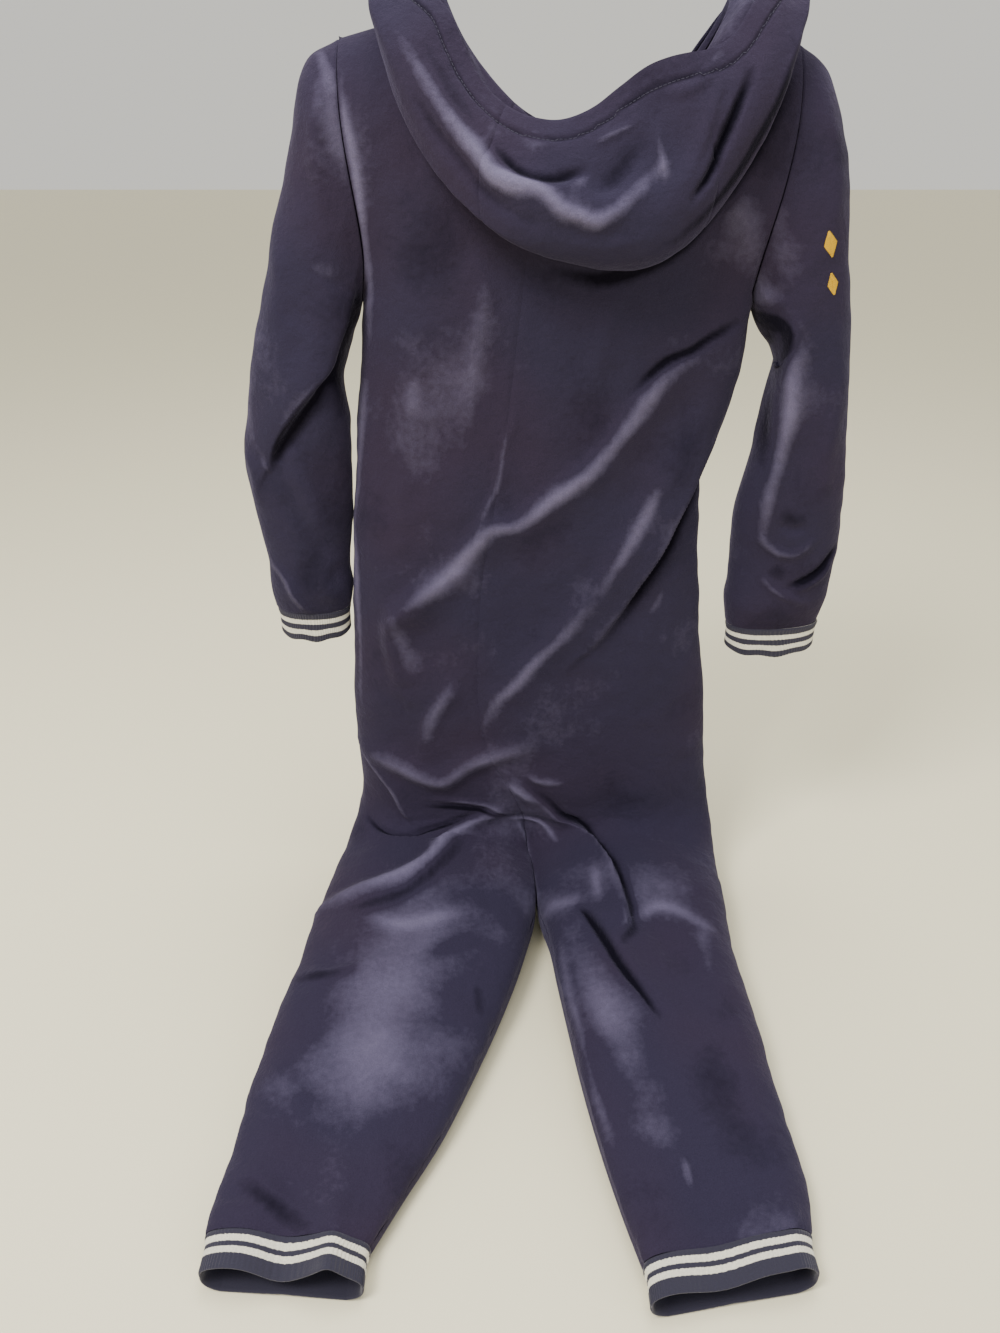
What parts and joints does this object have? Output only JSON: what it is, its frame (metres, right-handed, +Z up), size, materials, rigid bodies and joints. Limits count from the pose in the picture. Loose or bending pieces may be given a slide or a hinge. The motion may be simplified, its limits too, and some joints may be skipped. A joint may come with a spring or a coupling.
{
  "type": "hooded one-piece pajama",
  "caption": "Plush hooded one-piece pajama with a front zip and striped rib cuffs, hung at the neck with its legs lying forward.",
  "frame": {"origin": "the point between the shoulders where the garment is held at the neck, 795 mm above the surface its legs lie on", "axes": "+Z up, +X to the wearer's right, +Y out of the front; the back faces -Y and the legs lie along -Y"},
  "size_m": [0.5271, 0.5377, 0.8047],
  "materials": {
    "plush": "short-napped navy plush",
    "rib": "navy rib knit with two cream stripes",
    "zip_tape": "woven navy tape with a moulded navy chain",
    "zip_metal": "painted cast slider and pull"
  },
  "bodies": {
    "garment": {"back_left": "plush", "back_right": "plush", "front_left": "plush", "front_right": "plush", "sleeve_left": "plush", "sleeve_right": "plush", "hood_left": "plush", "hood_centre": "plush", "hood_right": "plush", "sleeve_cuff_left": "rib", "sleeve_cuff_right": "rib", "leg_cuff_left": "rib", "leg_cuff_right": "rib", "zip_tape": "zip_tape", "zip_slider": "zip_metal"},
    "pull": {"zip_pull": "zip_metal"}
  },
  "joints": [
    {"name": "pull_swing", "type": "hinge", "parent": "garment", "child": "pull", "pos_m": [0.01152, 0.04961, -0.12416], "axis": [1, 0, 0], "range_deg": [0, 150]}
  ]
}
